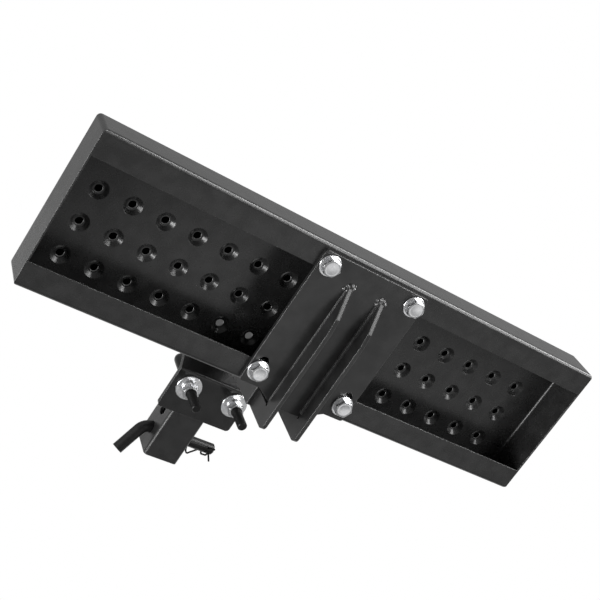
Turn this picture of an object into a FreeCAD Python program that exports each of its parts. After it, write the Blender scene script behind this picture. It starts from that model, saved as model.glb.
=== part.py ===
import FreeCAD, Part
import math
import os

import Sketcher
from FreeCAD import Placement, Rotation, Vector

# Hitch receiver step. The origin is the centre of the pin hole on the shank's axis.
# +X runs along the tread, +Y points towards the vehicle along the shank, +Z is up.

# Driving dimensions in millimetres, and angles in degrees
SIZES = {
    # Where the tread hangs below and behind the pin
    "reach": 300.0,
    "drop": 203.2,
    # Folded tread pan
    "tread_length": 700.0,
    "tread_width": 189.0,
    "tread_height": 50.8,
    "tread_sheet": 2.0,
    "tread_bend": 5.0,
    # Raised and pierced dimples of the tread
    "dimple_end_margin": 43.0,
    "dimple_side_margin": 30.0,
    "dimple_pitch_along": 40.75,
    "dimple_pitch_across": 41.4,
    "dimple_shift_along": 1.8,
    "dimple_shift_across": 0.7,
    "dimple_rise": 4.0,
    "dimple_mouth_radius": 11.0,
    "dimple_neck_radius": 6.3,
    "dimple_wall_offset": 0.7,
    "dimple_hole_radius": 4.6,
    # Base plate under the tread's lips
    "plate_sheet": 5.0,
    "plate_end_margin": 13.5,
    "plate_rear_inset": 6.5,
    "plate_front_inset": 2.0,
    "plate_corner": 4.0,
    "tongue_root_width": 92.6,
    "tongue_gap": 0.5,
    # Bolts that clamp the tread's lips to the base plate
    "bolt_spacing_along": 121.0,
    "bolt_inset": 21.2,
    "lip_margin": 9.3,
    "bolt_radius": 6.0,
    "bolt_hole_gap": 0.6,
    "bolt_slot_length": 25.0,
    "bolt_thread_length": 24.0,
    "bolt_head_flats": 19.0,
    "bolt_head_height": 7.5,
    "bolt_washer_radius": 13.0,
    "bolt_washer_sheet": 2.5,
    "bolt_nut_height": 10.0,
    "bevel_angle": 30.0,
    "thread_gap": 0.05,
    # Two arms under the base plate
    "arm_sheet": 5.0,
    "arm_depth": 21.0,
    "arm_rear_inset": 26.0,
    "arm_rear_face": 2.0,
    "arm_taper_length": 36.0,
    "arm_taper_depth": 18.0,
    "arm_shoulder_length": 18.0,
    "arm_riser_height": 72.0,
    "arm_riser_gap": 6.5,
    "arm_relief_radius": 1.8,
    "arm_nose_radius": 7.0,
    "weld_inner_leg": 2.5,
    "weld_outer_leg": 1.2,
    "weld_front_inset": 5.0,
    "weld_lump_radius": 3.5,
    # Channel mast in front of the tread
    "mast_sheet": 5.0,
    "mast_gap": 2.5,
    "mast_depth": 34.5,
    "mast_foot": 25.0,
    "mast_bend": 7.0,
    # Square receiver shank
    "shank_side": 50.8,
    "shank_wall": 5.0,
    "shank_corner": 5.0,
    "shank_nose": 28.0,
    "pin_hole_gap": 0.41,
    "pin_hole_spacing": 32.0,
    # Bent hitch pin
    "pin_radius": 7.94,
    "pin_bend_gap": 0.1,
    "pin_bend_radius": 16.0,
    "pin_bend_angle": 65.0,
    "pin_handle_length": 38.0,
    "pin_handle_tilt_angle": 14.8,
    "pin_end_margin": 9.0,
    "pin_chamfer": 1.5,
    # Spring clip through the end of the pin
    "clip_station": 64.0,
    "clip_tilt_angle": 60.0,
    "clip_wire_radius": 1.25,
    "clip_hole_gap": 0.35,
    "clip_tail": 24.0,
    "clip_reach": 52.0,
    "clip_eye_radius": 7.8,
    "clip_eye_angle": 210.0,
    "clip_waist": 5.5,
    "clip_waist_end": 22.0,
    "clip_crest": 10.6,
    "clip_crest_front": 11.0,
    "clip_crest_back": 4.0,
    "clip_dip": 6.2,
    "clip_dip_back": 9.5,
    "clip_tip": 17.0,
    "clip_tip_back": 19.0,
    "clip_bend": 3.0,
    # U-bolt over the shank
    "clamp_station": 96.4,
    "rod_radius": 6.35,
    "rod_gap": 3.25,
    "rod_bend": 12.0,
    "rod_tip_chamfer": 1.5,
    "rod_end": 94.7,
    "clamp_clearance": 0.3,
    # Bent clamp plate below the shank
    "clamp_width": 110.0,
    "clamp_shift": 4.0,
    "clamp_sheet": 6.0,
    "clamp_front": 40.0,
    "clamp_rear": 22.0,
    "clamp_drop": 19.0,
    "clamp_corner": 5.0,
    "clamp_inner_bend": 2.0,
    "clamp_hole_gap": 0.65,
    "clamp_washer_radius": 17.5,
    "clamp_washer_sheet": 3.0,
    "lock_washer_radius": 10.5,
    "lock_washer_sheet": 3.0,
    "lock_washer_split": 1.6,
    "clamp_nut_flats": 19.0,
    "clamp_nut_height": 10.5,
}

HALF_HEX_CORNER = 1.0 / math.sqrt(3.0)
BEYOND_HEX_CORNER = 0.7
MITRE_45 = math.tan(math.radians(22.5))
SIN_45 = math.sin(math.radians(45.0))


class Size:
    """A length that carries its number and the expression that gives it in the document."""

    def __init__(self, number, text):
        self.number = number
        self.text = text

    def joined(self, other, sign, number):
        return Size(number, "(" + self.text + " " + sign + " " + text_of(other) + ")")

    def __add__(self, other):
        return self.joined(other, "+", self.number + number_of(other))

    def __sub__(self, other):
        return self.joined(other, "-", self.number - number_of(other))

    def __mul__(self, other):
        return self.joined(other, "*", self.number * number_of(other))

    def __truediv__(self, other):
        return self.joined(other, "/", self.number / number_of(other))

    def __neg__(self):
        return Size(-self.number, "(0 - " + self.text + ")")


def whole(size):
    """The whole number in a size, for counts."""
    return Size(float(math.floor(size.number)), "floor(" + size.text + ")")


def number_of(value):
    return value.number if isinstance(value, Size) else float(value)


def text_of(value):
    return value.text if isinstance(value, Size) else repr(float(value))


class Sizes:
    """The driving dimensions by name, as written in the document's sheet."""

    def __init__(self, table):
        for name, value in table.items():
            setattr(self, name, Size(value, "Sizes." + name))


def write_sheet(doc, table):
    sheet = doc.addObject("Spreadsheet::Sheet", "Sizes")
    for row, (name, value) in enumerate(table.items(), start=1):
        sheet.set("A%d" % row, name)
        sheet.set("B%d" % row, str(value))
        sheet.setAlias("B%d" % row, name)
    doc.recompute()


def bind(thing, prop, value):
    """Set a property and tie it to the sheet."""
    if isinstance(value, Size):
        thing.setExpression(prop, value.text)


def place(thing, x=0.0, y=0.0, z=0.0, rotation=None):
    """Put an object at x, y, z, each tied to the sheet where it is a size."""
    base = Vector(number_of(x), number_of(y), number_of(z))
    thing.Placement = Placement(base, rotation or Rotation())
    for axis, value in (("x", x), ("y", y), ("z", z)):
        bind(thing, "Placement.Base." + axis, value)


def new_body(doc, label):
    body = doc.addObject("PartDesign::Body", label + "_body")
    body.Label = label
    return body


def origin_feature(body, role):
    return next(item for item in body.Origin.OriginFeatures if item.Role == role)


def sketch_on(body, name, role, offset=0.0):
    """A sketch on one of the body's own planes, moved along that plane's normal."""
    sketch = body.newObject("Sketcher::SketchObject", name)
    sketch.AttachmentSupport = [(origin_feature(body, role), "")]
    sketch.MapMode = "FlatFace"
    sketch.AttachmentOffset = Placement(Vector(0, 0, number_of(offset)), Rotation())
    bind(sketch, "AttachmentOffset.Base.z", offset)
    return sketch


def fix_point(sketch, geometry, end, x, y):
    """Hold one point of a sketch at x, y from the sketch's origin."""
    for kind, value in (("DistanceX", x), ("DistanceY", y)):
        index = sketch.addConstraint(
            Sketcher.Constraint(kind, -1, 1, geometry, end, number_of(value)))
        bind(sketch, "Constraints[%d]" % index, value)


def polygon(sketch, points):
    """A closed outline through the points, every corner tied to the sheet."""
    corners = [Vector(number_of(x), number_of(y), 0) for x, y in points]
    lines = []
    for start, finish in zip(corners, corners[1:] + corners[:1]):
        lines.append(sketch.addGeometry(Part.LineSegment(start, finish), False))
    for line, following in zip(lines, lines[1:] + lines[:1]):
        sketch.addConstraint(Sketcher.Constraint("Coincident", line, 2, following, 1))
    for line, (x, y) in zip(lines, points):
        fix_point(sketch, line, 1, x, y)


def pad(body, name, sketch, length, reverse=False):
    feature = body.newObject("PartDesign::Pad", name)
    feature.Profile = sketch
    feature.Length = number_of(length)
    bind(feature, "Length", length)
    feature.Reversed = reverse
    body.Document.recompute()
    return feature


def block(body, name, kind, size, corner):
    """A box added to a body or cut from it."""
    feature = body.newObject("PartDesign::" + kind + "Box", name)
    for prop, value in zip(("Length", "Width", "Height"), size):
        setattr(feature, prop, number_of(value))
        bind(feature, prop, value)
    place(feature, *corner)
    body.Document.recompute()
    return feature


def drum(body, name, kind, radius, height, base, rotation=None):
    """A cylinder added to a body or cut from it."""
    feature = body.newObject("PartDesign::" + kind + "Cylinder", name)
    for prop, value in (("Radius", radius), ("Height", height)):
        setattr(feature, prop, number_of(value))
        bind(feature, prop, value)
    place(feature, *base, rotation=rotation)
    body.Document.recompute()
    return feature


def cone(body, name, kind, radii, height, base):
    """A cone frustum added to a body or cut from it."""
    feature = body.newObject("PartDesign::" + kind + "Cone", name)
    for prop, value in (("Radius1", radii[0]), ("Radius2", radii[1]), ("Height", height)):
        setattr(feature, prop, number_of(value))
        bind(feature, prop, value)
    place(feature, *base)
    body.Document.recompute()
    return feature


def straight_edges(shape, direction, keep):
    """Names of the straight edges along a direction whose middle passes the test."""
    names = []
    for number, edge in enumerate(shape.Edges, start=1):
        if edge.Degenerated or not isinstance(edge.Curve, Part.Line):
            continue
        along = edge.tangentAt(edge.FirstParameter)
        if abs(abs(along.dot(direction)) - 1.0) < 1e-6 and keep(edge.CenterOfMass):
            names.append("Edge%d" % number)
    return names


def fillet(body, name, feature, edges, radius):
    rounded = body.newObject("PartDesign::Fillet", name)
    rounded.Base = (feature, edges)
    rounded.Radius = number_of(radius)
    bind(rounded, "Radius", radius)
    body.Document.recompute()
    return rounded


def grid(body, name, originals, counts, pitches):
    """Repeat features in rows and columns along the body's own X and Y axes."""
    pattern = body.newObject("PartDesign::MultiTransform", name)
    pattern.Originals = originals
    steps = []
    for axis, count, pitch in zip(("X", "Y"), counts, pitches):
        step = body.newObject("PartDesign::LinearPattern", name + "_along_" + axis.lower())
        step.Direction = (origin_feature(body, axis + "_Axis"), [""])
        step.Length = number_of(pitch) * (number_of(count) - 1)
        step.Occurrences = int(number_of(count))
        bind(step, "Length", pitch * (count - 1))
        bind(step, "Occurrences", count)
        steps.append(step)
    pattern.Transformations = steps
    body.Tip = pattern
    body.Document.recompute()
    return pattern


def hexagon(across_flats):
    """Corner points of a hexagon with two corners on the X axis."""
    corner = across_flats * HALF_HEX_CORNER
    return [
        (corner, across_flats * 0.0),
        (corner * 0.5, across_flats * 0.5),
        (corner * -0.5, across_flats * 0.5),
        (-corner, across_flats * 0.0),
        (corner * -0.5, across_flats * -0.5),
        (corner * 0.5, across_flats * -0.5),
    ]


X_AXIS = Vector(1, 0, 0)
Y_AXIS = Vector(0, 1, 0)
Z_AXIS = Vector(0, 0, 1)
ALONG_X = Rotation(Y_AXIS, 90)


def at_tread(thing, s):
    """Bracket and tread pieces are drawn from the tread's centre, at the lips' underside."""
    place(thing, 0.0, -s.reach, -s.drop)


def rounded_block(body, name, size, corner, radius):
    """A block with round edges, apart from the two short edges at its bottom."""
    sharp = block(body, name, "Additive", size, corner)
    middle_height = (corner[2] + size[2] / 2).number
    edges = straight_edges(sharp.Shape, Z_AXIS, lambda middle: True)
    edges += straight_edges(sharp.Shape, X_AXIS, lambda middle: True)
    edges += straight_edges(sharp.Shape, Y_AXIS, lambda middle: middle.z > middle_height)
    fillet(body, name + "_bends", sharp, edges, radius)


def make_tread(doc, s):
    """One folded pan: top, four walls, two inward lips, and raised, pierced dimples in the top."""
    length, width, height = s.tread_length, s.tread_width, s.tread_height
    sheet = s.tread_sheet
    ground = sheet * 0.0
    hollow = new_body(doc, "pan_hollow")
    rounded_block(hollow, "pan_inside", (length - sheet * 2, width - sheet * 2, height - sheet * 2),
                  (-length / 2 + sheet, -width / 2 + sheet, sheet), s.tread_bend - sheet)
    body = new_body(doc, "tread")
    rounded_block(body, "pan_outside", (length, width, height),
                  (-length / 2, -width / 2, ground), s.tread_bend)
    emptied = body.newObject("PartDesign::Boolean", "pan_emptied")
    emptied.Type = "Cut"
    emptied.setObjects([hollow])
    doc.recompute()
    lip = s.bolt_inset + s.lip_margin
    block(body, "pan_mouth", "Subtractive",
          (length - sheet * 2, width - lip * 2, sheet * 2),
          (-length / 2 + sheet, -width / 2 + lip, -sheet))

    columns = whole((length - s.dimple_end_margin * 2) / s.dimple_pitch_along) + 1
    rows = whole((width - s.dimple_side_margin * 2) / s.dimple_pitch_across) + 1
    first_x = -s.dimple_pitch_along * (columns - 1) / 2 - s.dimple_shift_along
    first_y = -s.dimple_pitch_across * (rows - 1) / 2 + s.dimple_shift_across
    mouth, neck = s.dimple_mouth_radius, s.dimple_neck_radius
    boss = cone(body, "dimple_boss", "Additive",
                (mouth + s.dimple_wall_offset, neck + s.dimple_wall_offset), s.dimple_rise,
                (first_x, first_y, height))
    hollow_side = cone(body, "dimple_hollow", "Subtractive", (mouth, neck), s.dimple_rise,
                       (first_x, first_y, height - sheet))
    pierced = drum(body, "dimple_hole", "Subtractive", s.dimple_hole_radius, s.dimple_rise + sheet,
                   (first_x, first_y, height - sheet))
    grid(body, "dimples", [boss, hollow_side, pierced], (columns, rows),
         (s.dimple_pitch_along, s.dimple_pitch_across))

    along, across = s.bolt_spacing_along, bolt_spacing_across(s)
    hole = drum(body, "lip_hole", "Subtractive", bolt_hole_radius(s), sheet * 2,
                (-along / 2, -across / 2, -sheet / 2))
    two = Size(2.0, "2")
    grid(body, "lip_holes", [hole], (two, two), (along, across))
    at_tread(body, s)
    return body


def plate_edges(s):
    """Rear and front edges of the base plate, from the tread's centre line."""
    return s.plate_rear_inset - s.tread_width / 2, s.tread_width / 2 - s.plate_front_inset


def mast_front(s):
    """Distance from the tread's centre line to the front faces of the mast and the arms."""
    return s.tread_width / 2 + s.mast_gap + s.mast_depth


def riser_rear(s):
    """Distance from the tread's centre line to the rear edges of the arms' risers."""
    return s.tread_width / 2 + s.mast_gap + s.mast_sheet + s.arm_riser_gap


def tongue_front(s):
    """Distance from the tread's centre line to the tip of the base plate's tongue."""
    return riser_rear(s) - s.tongue_gap


def bolt_spacing_across(s):
    """Distance between the two rows of tread bolts."""
    return s.tread_width - s.bolt_inset * 2


def bolt_hole_radius(s):
    """Radius of the holes that the tread bolts pass through."""
    return s.bolt_radius + s.bolt_hole_gap


def rod_spacing(s):
    """Distance between the middles of the U-bolt's legs, which stand clear of the shank."""
    return s.shank_side + (s.rod_radius + s.rod_gap) * 2


def make_base_plate(doc, s):
    """Plate bolted under the lips, with a tapered tongue that reaches to the arms' fronts."""
    body = new_body(doc, "base_plate")
    half = s.bolt_spacing_along / 2 + s.plate_end_margin
    root = s.tongue_root_width / 2
    tip = s.shank_side / 2 - s.arm_sheet
    plate_rear, plate_front = plate_edges(s)
    tip_front = tongue_front(s)
    sketch = sketch_on(body, "plate_outline", "XY_Plane")
    polygon(sketch, [
        (-half, plate_rear), (half, plate_rear),
        (half, plate_front), (root, plate_front),
        (tip, tip_front), (-tip, tip_front),
        (-root, plate_front), (-half, plate_front),
    ])
    plate = pad(body, "plate", sketch, s.plate_sheet, reverse=True)

    reach_x = half.number
    corners = straight_edges(plate.Shape, Z_AXIS, lambda middle: abs(abs(middle.x) - reach_x) < 1e-4)
    fillet(body, "plate_corners", plate, corners, s.plate_corner)

    along, across = s.bolt_spacing_along, bolt_spacing_across(s)
    left, rear, front = -along / 2, -across / 2, across / 2
    radius = bolt_hole_radius(s)
    depth = s.plate_sheet * 2
    below = -s.plate_sheet * 1.5
    two = Size(2.0, "2")
    one = Size(1.0, "1")
    rear_hole = drum(body, "rear_hole", "Subtractive", radius, depth, (left, rear, below))
    grid(body, "rear_holes", [rear_hole], (two, one), (along, across))

    slot_rear = front + radius * 2 - s.bolt_slot_length
    slot_front = drum(body, "slot_front", "Subtractive", radius, depth, (left, front, below))
    slot_back = drum(body, "slot_back", "Subtractive", radius, depth, (left, slot_rear, below))
    slot_middle = block(body, "slot_middle", "Subtractive",
                        (radius * 2, front - slot_rear, depth), (left - radius, slot_rear, below))
    grid(body, "front_slots", [slot_front, slot_back, slot_middle], (two, one), (along, across))
    at_tread(body, s)
    return body


def add_welds(body, s, label, legs, tip, under):
    """Fillet welds along both sides of an arm's foot, which meet in a lump at its rear tip."""
    left_leg, right_leg = legs
    weld_front = tongue_front(s) - s.weld_front_inset
    for side, face, leg, outer in (("left", s.arm_sheet * 0.0, left_leg, -left_leg),
                                   ("right", s.arm_sheet, right_leg, s.arm_sheet + right_leg)):
        sketch = sketch_on(body, label + "_weld_" + side, "XZ_Plane", -weld_front)
        polygon(sketch, [(face, under), (outer, under), (face, under - leg)])
        pad(body, label + "_bead_" + side, sketch, weld_front - tip)
    lump = body.newObject("PartDesign::AdditiveSphere", label + "_weld_lump")
    lump.Radius = number_of(s.weld_lump_radius)
    bind(lump, "Radius", s.weld_lump_radius)
    lump.Angle2 = 0.0
    place(lump, s.arm_sheet / 2, tip, under)
    body.Document.recompute()


def make_arm(doc, s, label, left_face, weld_legs):
    """Side plate on edge: a long foot under the base plate and a riser inside the mast."""
    body = new_body(doc, label)
    front, rear = mast_front(s), riser_rear(s)
    tip = plate_edges(s)[0] + s.arm_rear_inset
    under = -s.plate_sheet
    bottom = under - s.arm_depth
    taper_end = tip + s.arm_taper_length
    sketch = sketch_on(body, label + "_outline", "YZ_Plane")
    polygon(sketch, [
        (tip, under),
        (tip, under - s.arm_rear_face),
        (taper_end, under - s.arm_taper_depth),
        (taper_end + s.arm_shoulder_length, bottom),
        (front, bottom),
        (front, s.arm_riser_height),
        (rear, s.arm_riser_height),
        (rear, under),
    ])
    plate = pad(body, label + "_plate", sketch, s.arm_sheet)
    nose_y, nose_z = front.number, bottom.number
    nose = straight_edges(
        plate.Shape, X_AXIS,
        lambda middle: abs(middle.y - nose_y) < 1e-4 and abs(middle.z - nose_z) < 1e-4)
    fillet(body, label + "_nose", plate, nose, s.arm_nose_radius)
    drum(body, label + "_relief", "Subtractive", s.arm_relief_radius, s.arm_sheet * 3,
         (-s.arm_sheet, rear, under), ALONG_X)
    add_welds(body, s, label, weld_legs, tip, under)
    place(body, left_face, -s.reach, -s.drop)
    return body


def make_mast(doc, s):
    """Upright channel, open to the front, that holds the arms' risers and the shank."""
    body = new_body(doc, "mast")
    inner = s.shank_side / 2
    outer = inner + s.mast_sheet
    rear = s.tread_width / 2 + s.mast_gap
    web = rear + s.mast_sheet
    front = mast_front(s)
    sketch = sketch_on(body, "channel", "XY_Plane", s.mast_foot)
    polygon(sketch, [
        (-outer, rear), (outer, rear), (outer, front), (inner, front),
        (inner, web), (-inner, web), (-inner, front), (-outer, front),
    ])
    channel = pad(body, "channel_walls", sketch, s.drop + s.shank_side / 2 - s.mast_foot)
    rear_y = rear.number
    bends = straight_edges(channel.Shape, Z_AXIS, lambda middle: abs(middle.y - rear_y) < 1e-4)
    fillet(body, "channel_bends", channel, bends, s.mast_bend)
    at_tread(body, s)
    return body


def make_shank(doc, s):
    """Square tube along +Y with two cross holes, open at its front end."""
    body = new_body(doc, "shank")
    side, wall = s.shank_side, s.shank_wall
    rear = -s.reach + s.tread_width / 2 + s.mast_gap + s.mast_sheet
    length = s.shank_nose - rear
    outside = block(body, "tube_outside", "Additive", (side, length, side), (-side / 2, rear, -side / 2))
    fillet(body, "tube_corners", outside,
           straight_edges(outside.Shape, Y_AXIS, lambda middle: True), s.shank_corner)
    block(body, "tube_bore", "Subtractive",
          (side - wall * 2, length, side - wall * 2), (-side / 2 + wall, rear, -side / 2 + wall))
    for name, station in (("pin_hole", s.pin_hole_spacing * 0.0), ("spare_hole", -s.pin_hole_spacing)):
        drum(body, name, "Subtractive", s.pin_radius + s.pin_hole_gap, side * 2,
             (-side, station, 0.0), ALONG_X)
    return body


def make_washer(doc, label, bore, radius, sheet):
    """Flat ring whose upper face is at its own zero height."""
    body = new_body(doc, label)
    drum(body, label + "_disc", "Additive", radius, sheet, (0.0, 0.0, -sheet))
    drum(body, label + "_bore", "Subtractive", bore, sheet * 2, (0.0, 0.0, -sheet * 1.5))
    return body


def bevel_corners(body, label, across_flats, face, angle, upwards):
    """Turn down the corners of a hexagon's end face, as on forged nuts and bolt heads."""
    flat = across_flats / 2
    outer = across_flats * BEYOND_HEX_CORNER
    slope = math.tan(math.radians(number_of(angle)))
    drop = (outer - flat) * slope
    edge = face - drop if upwards else face + drop
    sketch = sketch_on(body, label + "_bevel", "XZ_Plane")
    polygon(sketch, [(flat, face), (outer, face), (outer, edge)])
    groove = body.newObject("PartDesign::Groove", label + "_bevelled")
    groove.Profile = sketch
    groove.ReferenceAxis = (sketch, ["V_Axis"])
    groove.Angle = 360.0
    body.Document.recompute()
    return groove


def make_nut(doc, s, label, bore, across_flats, height):
    """Hexagon nut whose upper face is at its own zero height."""
    body = new_body(doc, label)
    sketch = sketch_on(body, label + "_hexagon", "XY_Plane")
    polygon(sketch, hexagon(across_flats))
    pad(body, label + "_prism", sketch, height, reverse=True)
    bevel_corners(body, label + "_top", across_flats, height * 0.0, s.bevel_angle, True)
    bevel_corners(body, label + "_bottom", across_flats, -height, s.bevel_angle, False)
    drum(body, label + "_bore", "Subtractive", bore, height * 2, (0.0, 0.0, -height * 1.5))
    return body


def make_bolt(doc, s, label):
    """Hexagon bolt, head down, whose bearing face is at its own zero height."""
    body = new_body(doc, label)
    sketch = sketch_on(body, label + "_hexagon", "XY_Plane")
    polygon(sketch, hexagon(s.bolt_head_flats))
    pad(body, label + "_head", sketch, s.bolt_head_height, reverse=True)
    bevel_corners(body, label + "_crown", s.bolt_head_flats, -s.bolt_head_height, s.bevel_angle, False)
    drum(body, label + "_thread", "Additive", s.bolt_radius, s.bolt_thread_length, (0.0, 0.0, 0.0))
    return body


def make_tread_fasteners(doc, s):
    """Four bolts through the base plate and the lips, with washers below and nuts above."""
    made = []
    across = bolt_spacing_across(s) / 2
    along = s.bolt_spacing_along / 2
    corners = [(-along, -across), (along, -across), (-along, across), (along, across)]
    for number, (x, y) in enumerate(corners, start=1):
        washer = make_washer(doc, "tread_washer_%d" % number, bolt_hole_radius(s),
                             s.bolt_washer_radius, s.bolt_washer_sheet)
        bolt = make_bolt(doc, s, "tread_bolt_%d" % number)
        nut = make_nut(doc, s, "tread_nut_%d" % number, s.bolt_radius + s.thread_gap,
                       s.bolt_head_flats, s.bolt_nut_height)
        under_plate = -s.drop - s.plate_sheet
        place(washer, x, y - s.reach, under_plate)
        place(bolt, x, y - s.reach, under_plate - s.bolt_washer_sheet)
        place(nut, x, y - s.reach, -s.drop + s.tread_sheet + s.bolt_nut_height)
        made += [washer, bolt, nut]
    return made


def add_part(doc, kind, name, sizes, base, rotation=None):
    """A primitive of the Part workbench with its sizes tied to the sheet."""
    thing = doc.addObject("Part::" + kind, name)
    for prop, value in sizes.items():
        setattr(thing, prop, number_of(value))
        bind(thing, prop, value)
    place(thing, *base, rotation=rotation)
    return thing


def fuse(doc, label, pieces):
    joined = doc.addObject("Part::MultiFuse", label + "_fused")
    joined.Shapes = pieces
    joined.Refine = True
    joined.Label = label
    return joined


def make_u_bolt(doc, s):
    """Square U-bolt over the shank: a crown, two quarter bends and two threaded legs."""
    half = rod_spacing(s) / 2
    crown = s.shank_side / 2 + s.clamp_clearance + s.rod_radius
    shoulder = crown - s.rod_bend
    tip = -s.rod_end
    straight = rod_spacing(s) - s.rod_bend * 2
    y = -s.clamp_station
    pieces = [add_part(doc, "Cylinder", "u_bolt_crown", {"Radius": s.rod_radius, "Height": straight},
                       (-straight / 2, y, crown), ALONG_X)]
    for side, x in (("left", -half), ("right", half)):
        turn = Rotation(X_AXIS, 90) if side == "right" else Rotation(Vector(0, 1, 1), 180)
        bend_x = x + s.rod_bend if side == "left" else x - s.rod_bend
        pieces.append(add_part(doc, "Torus", "u_bolt_bend_" + side,
                               {"Radius1": s.rod_bend, "Radius2": s.rod_radius, "Angle3": 90.0},
                               (bend_x, y, shoulder), turn))
        pieces.append(add_part(doc, "Cylinder", "u_bolt_leg_" + side,
                               {"Radius": s.rod_radius, "Height": shoulder - tip - s.rod_tip_chamfer},
                               (x, y, tip + s.rod_tip_chamfer)))
        pieces.append(add_part(doc, "Cone", "u_bolt_tip_" + side,
                               {"Radius1": s.rod_radius - s.rod_tip_chamfer, "Radius2": s.rod_radius,
                                "Height": s.rod_tip_chamfer}, (x, y, tip)))
    return fuse(doc, "u_bolt", pieces)


def make_clamp_plate(doc, s):
    """Plate below the shank whose rear edge bends up to bear on the shank's underside."""
    body = new_body(doc, "clamp_plate")
    sheet = s.clamp_sheet
    rise = s.clamp_drop - s.clamp_clearance - sheet * SIN_45
    rear = -s.clamp_rear
    sketch = sketch_on(body, "bent_section", "YZ_Plane", -s.clamp_width / 2 - s.clamp_shift)
    zero = sheet * 0.0
    polygon(sketch, [
        (s.clamp_front, zero), (s.clamp_front, sheet),
        (rear + sheet * MITRE_45, sheet),
        (rear - rise + sheet * SIN_45, rise + sheet * SIN_45),
        (rear - rise, rise), (rear, zero),
    ])
    plate = pad(body, "bent_plate", sketch, s.clamp_width)
    bend_y, top = rear.number, sheet.number
    front_y = s.clamp_front.number
    inner_y = (rear + sheet * MITRE_45).number
    outer = straight_edges(plate.Shape, X_AXIS,
                           lambda middle: abs(middle.y - bend_y) < 1e-4 and abs(middle.z) < 1e-4)
    bent = fillet(body, "outer_bend", plate, outer, s.clamp_inner_bend + sheet)
    inner = straight_edges(bent.Shape, X_AXIS,
                           lambda middle: abs(middle.y - inner_y) < 1e-4 and abs(middle.z - top) < 1e-4)
    bent = fillet(body, "inner_bend", bent, inner, s.clamp_inner_bend)
    corners = straight_edges(bent.Shape, Z_AXIS, lambda middle: abs(middle.y - front_y) < 1e-4)
    fillet(body, "front_corners", bent, corners, s.clamp_corner)
    for side, x in (("left", -rod_spacing(s) / 2), ("right", rod_spacing(s) / 2)):
        drum(body, "leg_hole_" + side, "Subtractive", s.rod_radius + s.clamp_hole_gap, sheet * 3,
             (x, 0.0, -sheet))
    place(body, 0.0, -s.clamp_station, -s.shank_side / 2 - s.clamp_drop)
    return body


def make_clamp_fasteners(doc, s):
    """Flat washer, split lock washer and nut on each leg, stacked below the clamp plate."""
    made = []
    y = -s.clamp_station
    bearing = -s.shank_side / 2 - s.clamp_drop
    bore = s.rod_radius + s.thread_gap
    for side, x in (("left", -rod_spacing(s) / 2), ("right", rod_spacing(s) / 2)):
        washer = make_washer(doc, "clamp_washer_" + side, bore, s.clamp_washer_radius,
                             s.clamp_washer_sheet)
        place(washer, x, y, bearing)
        lock = make_washer(doc, "lock_washer_" + side, bore, s.lock_washer_radius,
                           s.lock_washer_sheet)
        block(lock, "split_" + side, "Subtractive",
              (s.lock_washer_radius * 2, s.lock_washer_split, s.lock_washer_sheet * 2),
              (0.0, -s.lock_washer_split / 2, -s.lock_washer_sheet * 1.5))
        place(lock, x, y, bearing - s.clamp_washer_sheet)
        nut = make_nut(doc, s, "clamp_nut_" + side, bore, s.clamp_nut_flats, s.clamp_nut_height)
        place(nut, x, y, bearing - s.clamp_washer_sheet - s.lock_washer_sheet)
        made += [washer, lock, nut]
    return made


def make_hitch_pin(doc, s):
    """Straight pin with a bevelled end and a clip hole, bent at its other end into a handle."""
    radius, bend = s.pin_radius, s.pin_bend_radius
    angle = math.radians(s.pin_bend_angle.number)
    start = -s.shank_side / 2 - s.pin_bend_gap
    end = s.clip_station + s.pin_end_margin
    handle_x = start - bend * math.sin(angle)
    handle_y = bend * (1.0 - math.cos(angle))
    handle_way = Vector(-math.cos(angle), math.sin(angle), 0)
    pieces = [
        add_part(doc, "Cylinder", "pin_straight",
                 {"Radius": radius, "Height": end - s.pin_chamfer - start},
                 (start, 0.0, 0.0), ALONG_X),
        add_part(doc, "Cone", "pin_nose",
                 {"Radius1": radius, "Radius2": radius - s.pin_chamfer, "Height": s.pin_chamfer},
                 (end - s.pin_chamfer, 0.0, 0.0), ALONG_X),
        add_part(doc, "Torus", "pin_bend",
                 {"Radius1": bend, "Radius2": radius, "Angle3": s.pin_bend_angle},
                 (start, bend, 0.0), Rotation(Z_AXIS, -90.0 - s.pin_bend_angle.number)),
        add_part(doc, "Cylinder", "pin_handle",
                 {"Radius": radius, "Height": s.pin_handle_length},
                 (handle_x, handle_y, 0.0), Rotation(Z_AXIS, handle_way)),
    ]
    rod = fuse(doc, "pin_rod", pieces)
    turn = s.clip_tilt_angle + s.pin_handle_tilt_angle
    way = Vector(0, math.cos(math.radians(turn.number)), math.sin(math.radians(turn.number)))
    hole = add_part(doc, "Cylinder", "clip_hole",
                    {"Radius": s.clip_wire_radius + s.clip_hole_gap, "Height": radius * 4},
                    (s.clip_station, 0.0, 0.0), Rotation(Z_AXIS, way))
    place(hole, s.clip_station, -radius * 2 * way.y, -radius * 2 * way.z, hole.Placement.Rotation)
    pin = doc.addObject("Part::Cut", "hitch_pin_cut")
    pin.Base = rod
    pin.Tool = hole
    pin.Label = "hitch_pin"
    place(pin, 0.0, 0.0, 0.0, Rotation(X_AXIS, -s.pin_handle_tilt_angle.number))
    return pin


def rounded_path(points, radius):
    """Edges through the points, straight between them and rounded at each corner between."""
    edges = []
    last = points[0]
    for before, corner, after in zip(points, points[1:], points[2:]):
        into = (corner - before).normalize()
        out = (after - corner).normalize()
        half_turn = into.getAngle(out) / 2
        trim = radius * math.tan(half_turn)
        first, final = corner - into * trim, corner + out * trim
        middle = corner + (out - into).normalize() * (radius / math.cos(half_turn) - radius)
        edges.append(Part.LineSegment(last, first).toShape())
        edges.append(Part.Arc(first, middle, final).toShape())
        last = final
    edges.append(Part.LineSegment(last, points[-1]).toShape())
    return edges


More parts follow.
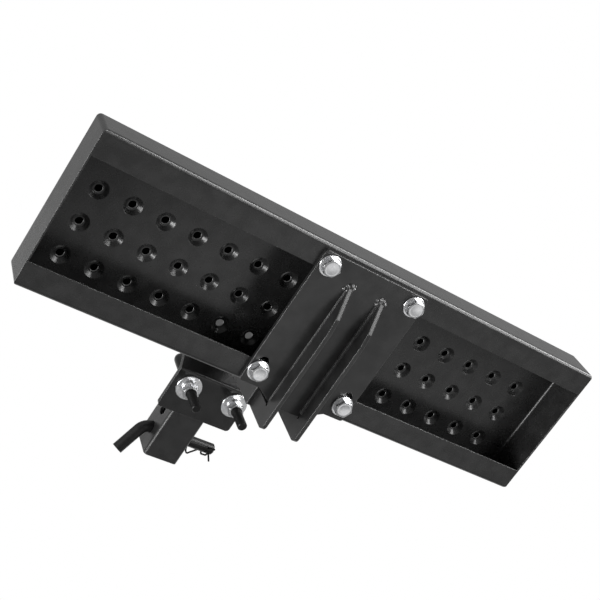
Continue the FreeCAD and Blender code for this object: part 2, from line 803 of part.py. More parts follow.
def make_pin_clip(doc, s):
    """Spring clip of round wire: a straight leg through the pin, an eye, and a waved leg."""
    wire, eye = s.clip_wire_radius.number, s.clip_eye_radius.number
    reach, crest, waist = s.clip_reach.number, s.clip_crest.number, s.clip_waist.number
    start = Vector(-s.clip_tail.number, 0, 0)
    foot = Vector(reach, 0, 0)

    def on_eye(swept):
        turned = math.radians(swept)
        return Vector(reach + eye * math.sin(turned), eye - eye * math.cos(turned), 0)

    sweep = s.clip_eye_angle.number
    leaving = on_eye(sweep)
    front = s.clip_crest_front.number
    wave = rounded_path([
        leaving,
        Vector(s.clip_waist_end.number, waist, 0),
        Vector(front + wire * 2, waist, 0),
        Vector(front, crest, 0),
        Vector(-s.clip_crest_back.number, crest, 0),
        Vector(-s.clip_dip_back.number, s.clip_dip.number, 0),
        Vector(-s.clip_tip_back.number, s.clip_tip.number, 0),
    ], s.clip_bend.number)
    path = Part.Wire([
        Part.LineSegment(start, foot).toShape(),
        Part.Arc(foot, on_eye(sweep / 2), leaving).toShape(),
    ] + wave)
    ring = Part.Wire([Part.Circle(start, X_AXIS, wire).toShape()])
    clip = doc.addObject("Part::Feature", "pin_clip")
    clip.Shape = path.makePipeShell([ring], True, True, 1)
    tilt = math.radians(s.clip_tilt_angle.number)
    along = Vector(0, math.cos(tilt), math.sin(tilt))
    across = Vector(0, math.sin(tilt), -math.cos(tilt))
    turn = Rotation(along, across, along.cross(across), "XYZ")
    place(clip, s.clip_station, 0.0, 0.0, turn)
    return clip


def check_and_export(doc, pieces):
    """Stop on any failed object or bad solid, then write each piece to its own file."""
    doc.recompute()
    for thing in doc.Objects:
        faults = [state for state in thing.State if state in ("Invalid", "Error")]
        if faults:
            raise RuntimeError(thing.Label + " is " + ", ".join(faults) + ": " + thing.getStatusString())
    for piece in pieces:
        if piece.Shape.isNull() or not piece.Shape.isValid() or len(piece.Shape.Solids) != 1:
            raise RuntimeError(piece.Label + " isn't one valid solid")
    os.makedirs("parts", exist_ok=True)
    for piece in pieces:
        piece.Shape.exportStep(os.path.join("parts", piece.Label + ".step"))
        box = piece.Shape.BoundBox
        print("%-22s volume %9.0f  x %7.1f %7.1f  y %7.1f %7.1f  z %7.1f %7.1f" % (
            piece.Label, piece.Shape.Volume, box.XMin, box.XMax, box.YMin, box.YMax,
            box.ZMin, box.ZMax))


def main():
    doc = FreeCAD.newDocument("HitchStep")
    write_sheet(doc, SIZES)
    s = Sizes(SIZES)
    inner = s.shank_side / 2
    pieces = [
        make_tread(doc, s),
        make_base_plate(doc, s),
        make_arm(doc, s, "arm_left", -inner, (s.weld_outer_leg, s.weld_inner_leg)),
        make_arm(doc, s, "arm_right", inner - s.arm_sheet, (s.weld_inner_leg, s.weld_outer_leg)),
        make_mast(doc, s),
        make_shank(doc, s),
    ]
    pieces += make_tread_fasteners(doc, s)
    pieces += [make_hitch_pin(doc, s), make_pin_clip(doc, s)]
    pieces += [make_u_bolt(doc, s), make_clamp_plate(doc, s)]
    pieces += make_clamp_fasteners(doc, s)
    check_and_export(doc, pieces)


main()
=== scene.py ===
import math

import bmesh
import bpy
from mathutils import Matrix, Vector, noise as field


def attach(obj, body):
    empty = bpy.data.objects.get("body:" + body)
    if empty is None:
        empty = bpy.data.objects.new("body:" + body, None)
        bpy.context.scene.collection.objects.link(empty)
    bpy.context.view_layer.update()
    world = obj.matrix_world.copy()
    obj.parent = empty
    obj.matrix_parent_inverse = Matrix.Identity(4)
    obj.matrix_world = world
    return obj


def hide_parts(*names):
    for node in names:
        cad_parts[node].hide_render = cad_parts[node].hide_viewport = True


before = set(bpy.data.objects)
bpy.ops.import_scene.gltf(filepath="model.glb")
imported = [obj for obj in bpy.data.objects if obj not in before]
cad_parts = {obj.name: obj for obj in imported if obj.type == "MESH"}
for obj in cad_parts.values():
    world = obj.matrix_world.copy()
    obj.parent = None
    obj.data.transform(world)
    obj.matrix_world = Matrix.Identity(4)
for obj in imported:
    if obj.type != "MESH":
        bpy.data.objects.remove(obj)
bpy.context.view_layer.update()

MM = 0.001
UP = Vector((0.0, 0.0, 1.0))
WHITE = (1.0, 1.0, 1.0, 1.0)

# Camera: it looks up at the step from below and behind
CAMERA_TARGET = Vector((0.0, -0.28356, -0.09285))
CAMERA_DISTANCE = 1.38939
CAMERA_HEADING = 59.602
CAMERA_RISE = 56.117
CAMERA_ROLL = 29.599
CAMERA_LENS = 68.63
SENSOR_WIDTH = 36.0
CAMERA_CLIP = (0.05, 60.0)

# Room. In reflections the floor shows a painted pool of light, an emission by place that is no
# lamp: place of its middle, and level by share of its reach
FLOOR_LEVEL = -2.4
FLOOR_SIZE = 30.0
FLOOR_TONE = 0.82
FLOOR_ROUGHNESS = 0.9
FLOOR_PALENESS = 0.5
PAINTED_POOL_MIDDLE = Vector((1.35, 0.5, FLOOR_LEVEL))
PAINTED_POOL_SQUEEZE = Vector((1.0, 2.0, 1.0))
PAINTED_POOL_REACH = 3.0
PAINTED_POOL_LEVELS = [(0.0, 1.0), (0.12, 0.95), (0.33, 0.42), (0.5, 0.24), (1.0, 0.22)]
WORLD_LIGHT = 0.35
BACKDROP = 1.0
# In reflections the sky falls from the backdrop's level to this one between two heights
SKY_DIM = 0.5
SKY_FADE = (0.1, 0.6)

# A black card far behind the tread, as wide from the camera as the tread's pierced field: painted
# shade seen through the tread's holes. It lines up with the tread's holes from the scene's own
# camera only.
SHADE_CARD_TONES = (0.0004, 0.0006)
CARD_DISTANCE = 6.0
CARD_FIELD = [(-0.325, -0.372), (0.325, -0.372), (0.325, -0.228), (-0.325, -0.228)]
CARD_FIELD_HEIGHT = -0.1524

# Soft boxes: name, direction from the step, distance, width, height, radiance
STEP_CENTRE = Vector((0.0, -0.25, -0.13))
SOFT_BOXES = [
    ("rear_right", Vector((0.51, -0.855, -0.12)), 2.2, 1.8, 0.38, 22.0),
    ("rear_right_lower", Vector((0.54, -0.66, -0.53)), 2.2, 1.8, 0.45, 10.5),
    ("low_rear_right", Vector((0.50, -0.42, -0.75)), 2.2, 0.9, 0.4, 8.0),
    ("side_left", Vector((-0.875, 0.27, -0.38)), 2.4, 1.2, 1.15, 16.0),
    ("overhead", Vector((0.1, 0.5, 0.85)), 2.4, 1.8, 1.2, 1.0),
]

# Powder coats: tone, roughness from and to, edge radius in metres, specular level, orange peel
COATS = {
    "tread_coat": (0.013, (0.25, 0.30), 0.0010, 0.5, 0.06),
    "bracket_coat": (0.014, (0.26, 0.34), 0.0016, 0.5, 0.2),
    "weld_coat": (0.020, (0.38, 0.48), 0.0006, 0.3, 0.2),
    # Weld lumps: the same black coat in a paler tone, a painted highlight
    "lump_coat_painted_bright": (0.05, (0.16, 0.26), 0.0004, 0.9, 0.2),
    "clamp_coat": (0.010, (0.18, 0.24), 0.0010, 0.5, 0.1),
    "pin_coat": (0.005, (0.36, 0.46), 0.0004, 0.3, 0.2),
}
# Dark steels: tone, roughness from and to, specular level
CLIP_WIRE = (0.005, (0.55, 0.70), 0.06)
ROD_STEEL = (0.006, (0.34, 0.50), 0.3)
# CAD nodes that are shown as they are, and their coats
COATED_NODES = {
    "tread": "tread_coat", "base_plate": "bracket_coat", "arm_left": "bracket_coat",
    "arm_right": "bracket_coat", "mast": "bracket_coat", "shank": "bracket_coat",
    "clamp_plate": "clamp_coat", "hitch_pin": "pin_coat",
}
# Patterns, in features per metre, and depths of bumps in metres
MOTTLE, SHEEN, PEEL = 60.0, 140.0, 900.0
ZINC_CLOUD, ZINC_SHEEN, ZINC_GRAIN = 260.0, 500.0, 2200.0
ZINC_DULL, ZINC_BRIGHT, ZINC_ROUGHNESS = (0.74, 0.75, 0.77), (0.90, 0.90, 0.90), (0.18, 0.32)
ZINC_EDGE, STEEL_EDGE = 0.0006, 0.0003
OXIDE_CLOUD, OXIDE_SHEEN, OXIDE_GRAIN = 400.0, 700.0, 2500.0
OXIDE_METAL = 0.2
COAT_BUMP, STEEL_BUMP, GRAIN_STRENGTH = 0.00004, 0.00003, 0.3
BEVEL_SAMPLES = 6
EDGE_FACING = 0.90

# Finer pieces, in millimetres
ROUND_STEPS = 48
SHARP_ANGLE = math.radians(35.0)
UNDER_PLATE = -208.2
TREAD_BOLTS = [(-60.5, -373.3), (60.5, -373.3), (-60.5, -226.7), (60.5, -226.7)]
HEX_FLATS = 19.0
HEX_CROWN = 9.1
HEX_SLOPE = math.tan(math.radians(30.0))
HEAD_LOW, HEAD_HIGH = -218.2, -210.7
HEAD_DISH_RADIUS, HEAD_DISH_DEPTH, HEAD_DISH_SLOPE = 7.0, 0.2, 1.2
BOLT_RADIUS, BOLT_PITCH, BOLT_THREAD, BOLT_TIP = 6.0, 1.75, -203.2, -186.7
BOLT_NUT_LOW, BOLT_NUT_HIGH = -201.2, -191.2
BOLT_WASHER_RADIUS, BOLT_WASHER_GAP = 13.0, 0.6
LEG_X, CLAMP_Y = 35.0, -96.4
ROD_RADIUS, ROD_PITCH, ROD_THREAD, ROD_TIP = 6.35, 1.95, -36.0, -94.7
ROD_CROWN, ROD_BEND = 32.05, 12.0
BEND_STEPS = 16
THREAD_GAP = 0.05
CLAMP_WASHER = (17.5, -47.4, -44.4)
LOCK_WASHER = (10.5, -50.4, -47.4)
LOCK_SPLIT, LOCK_SLANT = 1.6, 0.5
CLAMP_NUT_LOW, CLAMP_NUT_HIGH = -60.9, -50.4
RING_BEVEL, NUT_SINK = 0.4, 1.0
THREAD_ROWS, THREAD_RUN_IN, TIP_BEVEL = 4, 3.0, 1.5
# Depth of a thread as a share of its pitch
THREAD_DEPTH = 0.58
ARM_INNER, ARM_OUTER = 20.4, 25.4
WELD_REAR, WELD_FRONT = -362.0, -196.5
INNER_BEAD, OUTER_BEAD = 3.6, 1.35
BEAD_STEP, BEAD_RIPPLE, BEAD_SINK = 0.4, 1.9, 0.15
BEAD_PARTS, BEAD_CURVE, BEAD_END = 8, 0.3, 0.15
# How far beads and lumps swell and shrink, as shares of their size, and the length of a swell
BEAD_SWELL, BEAD_SWELL_LENGTH, BEAD_RIPPLE_DEPTH = 0.12, 7.0, 0.06
LUMP_SWELL, LUMP_SWELL_COUNT, LUMP_DETAIL = 0.16, 1.3, 4
SIDES = (("left", -1), ("right", 1))
# Lumps where the welds meet at the arms' rear tips: place, radius and height
WELD_LUMPS = [
    (-24.0, -355.9, 2.7, 3.2), (-29.2, -356.3, 2.1, 2.0), (-18.5, -360.9, 2.6, 3.2),
    (-18.2, -364.0, 1.9, 1.9), (-21.8, -363.2, 2.7, 3.3), (-27.0, -361.0, 2.2, 2.2),
    (17.2, -356.4, 2.4, 2.8), (16.0, -361.2, 2.0, 1.9), (20.1, -364.2, 2.6, 3.0),
    (26.4, -360.8, 2.7, 3.3), (21.4, -360.8, 2.8, 3.4), (24.0, -364.0, 2.0, 2.2),
]


def new_material(name):
    """An empty node material and its Principled shader."""
    material = bpy.data.materials.new(name)
    material.use_nodes = True
    tree = material.node_tree
    return material, tree, tree.nodes["Principled BSDF"]


def add_node(tree, kind, inputs=None, **settings):
    """A node with its settings and its input values."""
    made = tree.nodes.new(kind)
    for key, value in settings.items():
        setattr(made, key, value)
    for key, value in (inputs or {}).items():
        made.inputs[key].default_value = value
    return made


def noise(tree, scale, detail, roughness=0.5):
    """Noise over the part's own coordinates, in features per metre."""
    place = add_node(tree, "ShaderNodeTexCoord")
    made = add_node(tree, "ShaderNodeTexNoise",
                    {"Scale": scale, "Detail": detail, "Roughness": roughness})
    tree.links.new(place.outputs["Object"], made.inputs["Vector"])
    return made.outputs["Fac"]


def ramp(tree, factor, stops):
    """A colour ramp over a factor: a list of (place, grey level or colour)."""
    made = add_node(tree, "ShaderNodeValToRGB")
    elements = made.color_ramp.elements
    while len(elements) < len(stops):
        elements.new(0.5)
    for element, (place, tone) in zip(elements, stops):
        element.position = place
        element.color = (tone, tone, tone, 1.0) if isinstance(tone, float) else (*tone, 1.0)
    tree.links.new(factor, made.inputs["Fac"])
    return made.outputs["Color"]


def ranged(tree, factor, low, high, span=1.0):
    """A factor from 0 to span, taken to the range low to high."""
    made = add_node(tree, "ShaderNodeMapRange", {"From Max": span, "To Min": low, "To Max": high})
    tree.links.new(factor, made.inputs["Value"])
    return made.outputs["Result"]


def mixed(tree, factor, first, second):
    """Colour first where the factor is 0 and colour second where it is 1."""
    made = add_node(tree, "ShaderNodeMix", data_type="RGBA")
    tree.links.new(factor, made.inputs["Factor"])
    tree.links.new(first, made.inputs[6])
    tree.links.new(second, made.inputs[7])
    return made.outputs[2]


def shader_where(tree, factor, first, second):
    """The first shader where the factor is 0 and the second where it is 1."""
    made = add_node(tree, "ShaderNodeMixShader")
    tree.links.new(factor, made.inputs["Fac"])
    tree.links.new(first, made.inputs[1])
    tree.links.new(second, made.inputs[2])
    return made.outputs["Shader"]


def rounded_normal(tree, radius):
    """The surface normal with every sharp edge rounded off by that radius."""
    made = add_node(tree, "ShaderNodeBevel", {"Radius": radius}, samples=BEVEL_SAMPLES)
    return made.outputs["Normal"]


def edge_mask(tree, rounded):
    """Nearly 1 on a rounded edge and 0 on flat ground."""
    plain = add_node(tree, "ShaderNodeNewGeometry")
    facing = add_node(tree, "ShaderNodeVectorMath", operation="DOT_PRODUCT")
    tree.links.new(plain.outputs["Normal"], facing.inputs[0])
    tree.links.new(rounded, facing.inputs[1])
    made = add_node(tree, "ShaderNodeMapRange",
                    {"From Min": 1.0, "From Max": EDGE_FACING, "To Min": 0.0, "To Max": 1.0})
    tree.links.new(facing.outputs["Value"], made.inputs["Value"])
    return made.outputs["Result"]


def bumped(tree, height, distance, strength, normal):
    """A bump by height over a distance in metres, on top of a normal."""
    made = add_node(tree, "ShaderNodeBump", {"Distance": distance, "Strength": strength})
    tree.links.new(height, made.inputs["Height"])
    tree.links.new(normal, made.inputs["Normal"])
    return made.outputs["Normal"]


def powder_coat(name, tone, gloss, edge_radius, specular, peel_strength):
    """Satin black powder coat: orange peel, faint mottling, and a paler tone on edges that is
    partly a thinner film and partly a painted edge highlight.
    """
    material, tree, shader = new_material(name)
    rounded = rounded_normal(tree, edge_radius)
    mottle = ramp(tree, noise(tree, MOTTLE, 4.0), [(0.35, tone * 0.8), (0.65, tone * 1.25)])
    # Paler on rounded edges: partly a thinner film, partly a painted edge highlight
    thin_film_and_highlight = ramp(tree, noise(tree, PEEL, 3.0), [(0.3, tone * 1.5), (0.7, tone * 3.0)])
    colour = mixed(tree, edge_mask(tree, rounded), mottle, thin_film_and_highlight)
    tree.links.new(colour, shader.inputs["Base Color"])
    shader.inputs["Specular IOR Level"].default_value = specular
    tree.links.new(ranged(tree, noise(tree, SHEEN, 3.0), *gloss), shader.inputs["Roughness"])
    peel = bumped(tree, noise(tree, PEEL, 2.0), COAT_BUMP, peel_strength, rounded)
    tree.links.new(peel, shader.inputs["Normal"])
    return material


def bright_zinc(name):
    """Bright zinc plating: clear metal with soft clouding and fine drawing marks."""
    material, tree, shader = new_material(name)
    rounded = rounded_normal(tree, ZINC_EDGE)
    cloud = ramp(tree, noise(tree, ZINC_CLOUD, 4.0), [(0.3, ZINC_DULL), (0.7, ZINC_BRIGHT)])
    tree.links.new(cloud, shader.inputs["Base Color"])
    shader.inputs["Metallic"].default_value = 1.0
    roughness = ranged(tree, noise(tree, ZINC_SHEEN, 3.0), *ZINC_ROUGHNESS)
    tree.links.new(roughness, shader.inputs["Roughness"])
    grain = bumped(tree, noise(tree, ZINC_GRAIN, 2.0), COAT_BUMP, GRAIN_STRENGTH, rounded)
    tree.links.new(grain, shader.inputs["Normal"])
    return material


def dark_steel(name, tone, gloss, specular):
    """Blackened spring steel and threads: a dark oxide with a low metal shine."""
    material, tree, shader = new_material(name)
    rounded = rounded_normal(tree, STEEL_EDGE)
    oxide = ramp(tree, noise(tree, OXIDE_CLOUD, 4.0), [(0.3, tone * 0.7), (0.7, tone * 1.4)])
    tree.links.new(oxide, shader.inputs["Base Color"])
    shader.inputs["Metallic"].default_value = OXIDE_METAL
    shader.inputs["Specular IOR Level"].default_value = specular
    roughness = ranged(tree, noise(tree, OXIDE_SHEEN, 3.0), *gloss)
    tree.links.new(roughness, shader.inputs["Roughness"])
    grain = bumped(tree, noise(tree, OXIDE_GRAIN, 2.0), STEEL_BUMP, GRAIN_STRENGTH, rounded)
    tree.links.new(grain, shader.inputs["Normal"])
    return material


def finish_node(name, material):
    """Puts a material on every face of a CAD node."""
    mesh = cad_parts[name].data
    mesh.materials.clear()
    mesh.materials.append(material)


def circle(centre, radius, height):
    """A level circle of points, whose last point repeats its first."""
    return [Vector((centre[0] + radius * math.cos(step * math.tau / ROUND_STEPS),
                    centre[1] + radius * math.sin(step * math.tau / ROUND_STEPS), height))
            for step in range(ROUND_STEPS + 1)]


def hexagon(centre, end, way):
    """A hexagon's outline, bevelled by a cone that leaves a round face at the end height."""
    ring = []
    for step in range(ROUND_STEPS + 1):
        turn = step * math.tau / ROUND_STEPS
        radius = HEX_FLATS / 2 / math.cos(turn % (math.pi / 3) - math.pi / 6)
        drop = (radius - HEX_CROWN) * HEX_SLOPE if way else 0.0
        ring.append(Vector((centre[0] + radius * math.cos(turn),
                            centre[1] + radius * math.sin(turn), end + way * drop)))
    return ring


def thread(centre, radius, pitch, start, end):
    """Rings of a screw thread that runs in smoothly at its start and is bevelled at its end."""
    depth = pitch * THREAD_DEPTH
    length, way = abs(end - start), math.copysign(1.0, end - start)
    rings = []
    for row in range(-THREAD_ROWS, math.ceil(length / pitch * THREAD_ROWS) + 1):
        ring = []
        for step in range(ROUND_STEPS + 1):
            share = step / ROUND_STEPS
            along = min(max((row / THREAD_ROWS + share) * pitch, 0.0), length)
            phase = (along / pitch - share) % 1.0
            groove = min(max(phase * 4.0 - 1.0, 0.0), max(4.0 - phase * 4.0, 0.0), 1.0)
            cut = depth * groove * min(along / THREAD_RUN_IN, 1.0)
            reach = min(radius - cut, radius - TIP_BEVEL + length - along)
            ring.append(Vector((centre[0] + reach * math.cos(share * math.tau),
                                centre[1] + reach * math.sin(share * math.tau),
                                start + way * along)))
        rings.append(ring)
    return rings


def skin(shape, rings, cap_first=False, cap_last=False):
    """Faces between neighbouring rings of equally many points, and over the end rings if asked."""
    rows = [[shape.verts.new(point) for point in ring] for ring in rings]
    for lower, upper in zip(rows, rows[1:]):
        for i in range(len(lower) - 1):
            shape.faces.new((lower[i], lower[i + 1], upper[i + 1], upper[i]))
    for capped, row in ((cap_first, rows[0]), (cap_last, rows[-1])):
        if capped:
            shape.faces.new(row[:-1])


def new_piece(name, shape, material, slot, body, *replaced):
    """Makes a built shape, in millimetres, into a piece that rides on a body."""
    bmesh.ops.remove_doubles(shape, verts=shape.verts, dist=0.002)
    bmesh.ops.recalc_face_normals(shape, faces=shape.faces)
    bmesh.ops.scale(shape, vec=(MM, MM, MM), verts=shape.verts)
    mesh = bpy.data.meshes.new(name)
    shape.to_mesh(mesh)
    shape.free()
    mesh.polygons.foreach_set("use_smooth", [True] * len(mesh.polygons))
    mesh.set_sharp_from_angle(angle=SHARP_ANGLE)
    mesh.materials.append(material)
    piece = bpy.data.objects.new(name, mesh)
    bpy.context.scene.collection.objects.link(piece)
    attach(piece, body)
    if replaced:
        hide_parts(*replaced)


def ring_section(inner, outer, low, high):
    """The bevelled section of a flat ring, as radius and height, closed on its first point."""
    bevel = RING_BEVEL
    return [(inner, low + bevel), (inner + bevel, low), (outer - bevel, low),
            (outer, low + bevel), (outer, high - bevel), (outer - bevel, high),
            (inner + bevel, high), (inner, high - bevel), (inner, low + bevel)]


def add_washer(name, material, body, node, centre, inner, outer, low, high):
    """A flat ring with bevelled edges."""
    shape = bmesh.new()
    skin(shape, [circle(centre, radius, height)
                 for radius, height in ring_section(inner, outer, low, high)])
    new_piece(name, shape, material, "bright_zinc", body, node)


def add_lock_washer(name, material, node, centre, inner):
    """A split ring whose slanted ends leave a narrow gap on its +X side."""
    outer, low, high = LOCK_WASHER
    middle = (low + high) / 2
    half_gap = LOCK_SPLIT / 2 / outer
    rings = []
    for step in range(ROUND_STEPS + 1):
        turn = half_gap + (math.tau - 2 * half_gap) * step / ROUND_STEPS
        ring = []
        for radius, height in ring_section(inner, outer, low, high):
            angle = turn + LOCK_SLANT * (height - middle) / outer
            ring.append(Vector((centre[0] + radius * math.cos(angle),
                                centre[1] + radius * math.sin(angle), height)))
        rings.append(ring)
    shape = bmesh.new()
    skin(shape, rings, cap_first=True, cap_last=True)
    new_piece(name, shape, material, "bright_zinc", "jaw", node)


def add_nut(name, material, body, node, centre, bore, low, high):
    """A hexagon nut, bevelled at both ends, with a countersunk bore."""
    sunk = bore + NUT_SINK
    rings = [circle(centre, bore, low + NUT_SINK), circle(centre, sunk, low),
             circle(centre, HEX_CROWN, low), hexagon(centre, low, 1.0),
             hexagon(centre, high, -1.0), circle(centre, HEX_CROWN, high),
             circle(centre, sunk, high), circle(centre, bore, high - NUT_SINK),
             circle(centre, bore, low + NUT_SINK)]
    shape = bmesh.new()
    skin(shape, rings)
    new_piece(name, shape, material, "bright_zinc", body, node)


def add_tread_bolt(number, material, centre):
    """A hexagon bolt, head down, with a shallow dish in its head and a screw thread."""
    rings = [circle(centre, HEAD_DISH_RADIUS - HEAD_DISH_SLOPE, HEAD_LOW + HEAD_DISH_DEPTH),
             circle(centre, HEAD_DISH_RADIUS, HEAD_LOW), circle(centre, HEX_CROWN, HEAD_LOW),
             hexagon(centre, HEAD_LOW, 1.0), hexagon(centre, HEAD_HIGH, 0.0),
             circle(centre, BOLT_RADIUS, HEAD_HIGH), circle(centre, BOLT_RADIUS, BOLT_THREAD)]
    rings += thread(centre, BOLT_RADIUS, BOLT_PITCH, BOLT_THREAD, BOLT_TIP)
    shape = bmesh.new()
    skin(shape, rings, cap_first=True, cap_last=True)
    new_piece("hex_bolt_%d" % number, shape, material, "bright_zinc", "step",
              "tread_bolt_%d" % number)


def add_u_bolt(material):
    """A square U-bolt: a bent round rod with a screw thread on each leg."""
    shape = bmesh.new()
    for side in (-1, 1):
        rings = thread((side * LEG_X, CLAMP_Y), ROD_RADIUS, ROD_PITCH, ROD_THREAD, ROD_TIP)
        skin(shape, rings, cap_last=True)
    turns = [math.pi / 2 * step / BEND_STEPS for step in range(BEND_STEPS + 1)]
    middle_x, shoulder = LEG_X - ROD_BEND, ROD_CROWN - ROD_BEND
    line = [(-LEG_X, ROD_THREAD, math.pi / 2)]
    line += [(-middle_x - ROD_BEND * math.cos(turn), shoulder + ROD_BEND * math.sin(turn),
              math.pi / 2 - turn) for turn in turns]
    line += [(middle_x + ROD_BEND * math.sin(turn), shoulder + ROD_BEND * math.cos(turn), -turn)
             for turn in turns]
    line += [(LEG_X, ROD_THREAD, -math.pi / 2)]
    rings = []
    for x, z, heading in line:
        middle = Vector((x, CLAMP_Y, z))
        inward = Vector((math.sin(heading), 0.0, -math.cos(heading)))
        ring = []
        for step in range(ROUND_STEPS + 1):
            turn = step * math.tau / ROUND_STEPS
            outwards = math.cos(turn) * inward + Vector((0.0, math.sin(turn), 0.0))
            ring.append(middle + ROD_RADIUS * outwards)
        rings.append(ring)
    skin(shape, rings)
    new_piece("threaded_u_bolt", shape, material, "rod_coat", "u_bolt", "u_bolt")


def add_weld_bead(name, material, face, way, leg):
    """A convex, rippled fillet weld between the base plate and one side of an arm."""
    count = round((WELD_FRONT - WELD_REAR) / BEAD_STEP)
    rings = []
    for step in range(count + 1):
        y = WELD_REAR + (WELD_FRONT - WELD_REAR) * step / count
        end = min(step, count - step) * BEAD_STEP / leg
        dome = math.sqrt(max(1.0 - (1.0 - min(end, 1.0)) ** 2, 0.0))
        swell = dome * (1.0 - BEAD_END) + BEAD_END
        swell *= 1.0 + BEAD_SWELL * field.noise(Vector((face, y / BEAD_SWELL_LENGTH, leg)))
        ring = []
        for part in range(BEAD_PARTS + 1):
            turn = math.pi / 2 * part / BEAD_PARTS
            wave = math.cos(math.tau * (y / BEAD_RIPPLE + BEAD_CURVE * math.sin(2 * turn)))
            radius = leg * swell * (1.0 + BEAD_RIPPLE_DEPTH * wave)
            ring.append(Vector((face - way * BEAD_SINK + way * radius * math.cos(turn), y,
                                UNDER_PLATE + BEAD_SINK - radius * math.sin(turn))))
        corner = Vector((face - way * 2 * BEAD_SINK, y, UNDER_PLATE + 2 * BEAD_SINK))
        rings.append([corner] + ring + [corner])
    shape = bmesh.new()
    skin(shape, rings, cap_first=True, cap_last=True)
    new_piece(name, shape, material, "bracket_coat", "step")


def add_weld_lumps(name, material, lumps):
    """Irregular lumps of weld metal on the underside of the base plate."""
    shape = bmesh.new()
    for x, y, radius, height in lumps:
        ball = bmesh.ops.create_icosphere(shape, subdivisions=LUMP_DETAIL, radius=1.0)
        for vert in ball["verts"]:
            spot = vert.co * LUMP_SWELL_COUNT + Vector((x, y, 0.0))
            bulge = 1.0 + LUMP_SWELL * field.noise(spot)
            vert.co = Vector((x, y, UNDER_PLATE)) + Vector(
                (vert.co.x * radius, vert.co.y * radius, vert.co.z * height)) * bulge
    new_piece(name, shape, material, "bracket_coat", "step")


def add_fasteners(zinc):
    """The zinc-plated bolts, washers and nuts of the tread and the clamp."""
    for number, centre in enumerate(TREAD_BOLTS, start=1):
        add_tread_bolt(number, zinc, centre)
        add_washer("plain_washer_%d" % number, zinc, "step", "tread_washer_%d" % number, centre,
                   BOLT_RADIUS + BOLT_WASHER_GAP, BOLT_WASHER_RADIUS, HEAD_HIGH, UNDER_PLATE)
        add_nut("hex_nut_%d" % number, zinc, "step", "tread_nut_%d" % number, centre,
                BOLT_RADIUS + THREAD_GAP, BOLT_NUT_LOW, BOLT_NUT_HIGH)
    bore = ROD_RADIUS + THREAD_GAP
    for side, way in SIDES:
        centre = (way * LEG_X, CLAMP_Y)
        radius, low, high = CLAMP_WASHER
        add_washer("wide_washer_" + side, zinc, "jaw", "clamp_washer_" + side, centre,
                   bore, radius, low, high)
        add_lock_washer("split_washer_" + side, zinc, "lock_washer_" + side, centre, bore)
        add_nut("rod_nut_" + side, zinc, "jaw", "clamp_nut_" + side, centre,
                bore, CLAMP_NUT_LOW, CLAMP_NUT_HIGH)


def add_camera():
    """Adds the camera by its heading, rise and roll about the target, and returns its place."""
    heading, rise = math.radians(CAMERA_HEADING), math.radians(CAMERA_RISE)
    ahead = Vector((math.sin(heading) * math.cos(rise), math.cos(heading) * math.cos(rise),
                    math.sin(rise)))
    level_up = (UP - ahead * UP.dot(ahead)).normalized()
    up = Matrix.Rotation(math.radians(CAMERA_ROLL), 3, ahead) @ level_up
    right = ahead.cross(up)
    data = bpy.data.cameras.new("camera")
    data.lens = CAMERA_LENS
    data.sensor_width = SENSOR_WIDTH
    data.clip_start, data.clip_end = CAMERA_CLIP
    camera = bpy.data.objects.new("camera", data)
    turned = Matrix((right, up, -ahead)).transposed().to_4x4()
    eye = CAMERA_TARGET - ahead * CAMERA_DISTANCE
    camera.matrix_world = Matrix.Translation(eye) @ turned
    bpy.context.scene.collection.objects.link(camera)
    bpy.context.scene.camera = camera
    return eye


def add_world():
    """White to the eye, white to grey overhead in reflections, and a softer light on the step."""
    world = bpy.data.worlds.new("studio")
    world.use_nodes = True
    bpy.context.scene.world = world
    tree = world.node_tree
    seen = add_node(tree, "ShaderNodeBackground", {"Color": WHITE, "Strength": BACKDROP})
    light = tree.nodes["Background"]
    light.inputs["Color"].default_value = WHITE
    light.inputs["Strength"].default_value = WORLD_LIGHT
    direction = add_node(tree, "ShaderNodeTexCoord")
    split = add_node(tree, "ShaderNodeSeparateXYZ")
    tree.links.new(direction.outputs["Generated"], split.inputs["Vector"])
    fade = add_node(tree, "ShaderNodeMapRange",
                    {"From Min": SKY_FADE[0], "From Max": SKY_FADE[1],
                     "To Min": BACKDROP, "To Max": SKY_DIM})
    tree.links.new(split.outputs["Z"], fade.inputs["Value"])
    mirrored = add_node(tree, "ShaderNodeBackground", {"Color": WHITE})
    tree.links.new(fade.outputs["Result"], mirrored.inputs["Strength"])
    path = add_node(tree, "ShaderNodeLightPath")
    surface = light.outputs["Background"]
    for ray, shown in (("Is Glossy Ray", mirrored), ("Is Transmission Ray", seen),
                       ("Is Camera Ray", seen)):
        surface = shader_where(tree, path.outputs[ray], surface, shown.outputs["Background"])
    tree.links.new(surface, tree.nodes["World Output"].inputs["Surface"])


def stage_card(name, corners, material):
    """A flat four-cornered piece of the set."""
    mesh = bpy.data.meshes.new(name)
    mesh.from_pydata(corners, [], [(0, 1, 2, 3)])
    mesh.materials.append(material)
    card = bpy.data.objects.new(name, mesh)
    bpy.context.scene.collection.objects.link(card)


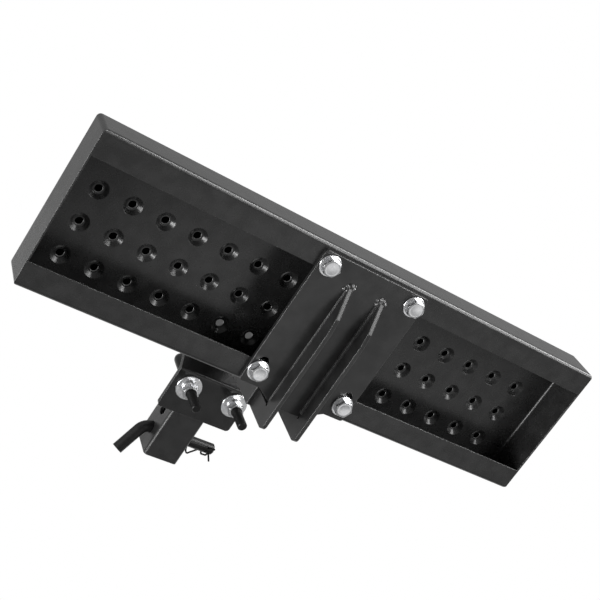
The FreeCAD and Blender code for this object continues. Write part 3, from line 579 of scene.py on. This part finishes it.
def add_floor():
    """A pale floor well below the step, paler to the eye, and in reflections a painted pool of
    light: an emission by place, no lamp.
    """
    material, tree, shader = new_material("pale_floor")
    tone = ramp(tree, noise(tree, 3.0, 2.0), [(0.3, FLOOR_TONE * 0.98), (0.7, FLOOR_TONE)])
    tree.links.new(tone, shader.inputs["Base Color"])
    shader.inputs["Roughness"].default_value = FLOOR_ROUGHNESS
    # Painted pool of light: brightness by distance from a point on the floor, glowing only in
    # reflections
    place = add_node(tree, "ShaderNodeNewGeometry")
    squeezed = add_node(tree, "ShaderNodeVectorMath", operation="MULTIPLY")
    tree.links.new(place.outputs["Position"], squeezed.inputs[0])
    squeezed.inputs[1].default_value = PAINTED_POOL_SQUEEZE
    away = add_node(tree, "ShaderNodeVectorMath", operation="DISTANCE")
    tree.links.new(squeezed.outputs["Vector"], away.inputs[0])
    away.inputs[1].default_value = PAINTED_POOL_MIDDLE * PAINTED_POOL_SQUEEZE
    painted_pool = ramp(tree, ranged(tree, away.outputs["Value"], 0.0, 1.0, PAINTED_POOL_REACH), PAINTED_POOL_LEVELS)
    mirrored = add_node(tree, "ShaderNodeEmission", {"Strength": BACKDROP})
    tree.links.new(painted_pool, mirrored.inputs["Color"])
    pale = add_node(tree, "ShaderNodeEmission", {"Color": WHITE, "Strength": BACKDROP})
    share = add_node(tree, "ShaderNodeMixShader", {"Fac": FLOOR_PALENESS})
    tree.links.new(shader.outputs["BSDF"], share.inputs[1])
    tree.links.new(pale.outputs["Emission"], share.inputs[2])
    path = add_node(tree, "ShaderNodeLightPath")
    surface = shader_where(tree, path.outputs["Is Camera Ray"], shader.outputs["BSDF"],
                           share.outputs["Shader"])
    surface = shader_where(tree, path.outputs["Is Glossy Ray"], surface,
                           mirrored.outputs["Emission"])
    tree.links.new(surface, tree.nodes["Material Output"].inputs["Surface"])
    half = FLOOR_SIZE / 2
    stage_card("floor", [(-half, -half, FLOOR_LEVEL), (half, -half, FLOOR_LEVEL),
                         (half, half, FLOOR_LEVEL), (-half, half, FLOOR_LEVEL)], material)


def add_painted_shade_card(eye):
    """A black card high above, behind the tread's holes as the scene's camera sees them: painted
    shade seen through the holes.
    """
    material, tree, shader = new_material("painted_shade_card")
    tone = ramp(tree, noise(tree, 8.0, 2.0), [(0.3, SHADE_CARD_TONES[0]), (0.7, SHADE_CARD_TONES[1])])
    tree.links.new(tone, shader.inputs["Base Color"])
    shader.inputs["Roughness"].default_value = 1.0
    shader.inputs["Specular IOR Level"].default_value = 0.0
    corners = []
    for x, y in CARD_FIELD:
        sight = Vector((x, y, CARD_FIELD_HEIGHT)) - eye
        corners.append(eye + sight.normalized() * CARD_DISTANCE)
    stage_card("painted_shade_card", corners, material)


def add_soft_box(name, direction, distance, width, height, radiance):
    """A rectangular soft light that faces the step."""
    data = bpy.data.lights.new(name, "AREA")
    data.shape = "RECTANGLE"
    data.size = width
    data.size_y = height
    data.energy = radiance * math.pi * width * height
    lamp = bpy.data.objects.new(name, data)
    towards = direction.normalized()
    lamp.location = STEP_CENTRE + towards * distance
    lamp.rotation_mode = "QUATERNION"
    lamp.rotation_quaternion = towards.to_track_quat("Z", "Y")
    bpy.context.scene.collection.objects.link(lamp)


def dress_part():
    """Materials of the CAD nodes that are shown as they are, and the finer pieces."""
    coats = {name: powder_coat(name, *look) for name, look in COATS.items()}
    zinc = bright_zinc("bright_zinc")
    for node, coat in COATED_NODES.items():
        finish_node(node, coats[coat])
    finish_node("pin_clip", dark_steel("clip_wire", *CLIP_WIRE))
    add_u_bolt(dark_steel("rod_coat", *ROD_STEEL))
    add_fasteners(zinc)
    for side, way in SIDES:
        add_weld_bead("weld_inner_" + side, coats["weld_coat"], way * ARM_INNER, -way, INNER_BEAD)
        add_weld_bead("weld_outer_" + side, coats["weld_coat"], way * ARM_OUTER, way, OUTER_BEAD)
        # The lumps take the paler copy of the coat, a painted highlight
        add_weld_lumps("weld_lumps_" + side, coats["lump_coat_painted_bright"],
                       [lump for lump in WELD_LUMPS if lump[0] * way > 0])


dress_part()
add_world()
add_floor()
for soft_box in SOFT_BOXES:
    add_soft_box(*soft_box)
add_painted_shade_card(add_camera())
bpy.context.scene.view_settings.view_transform = "Standard"
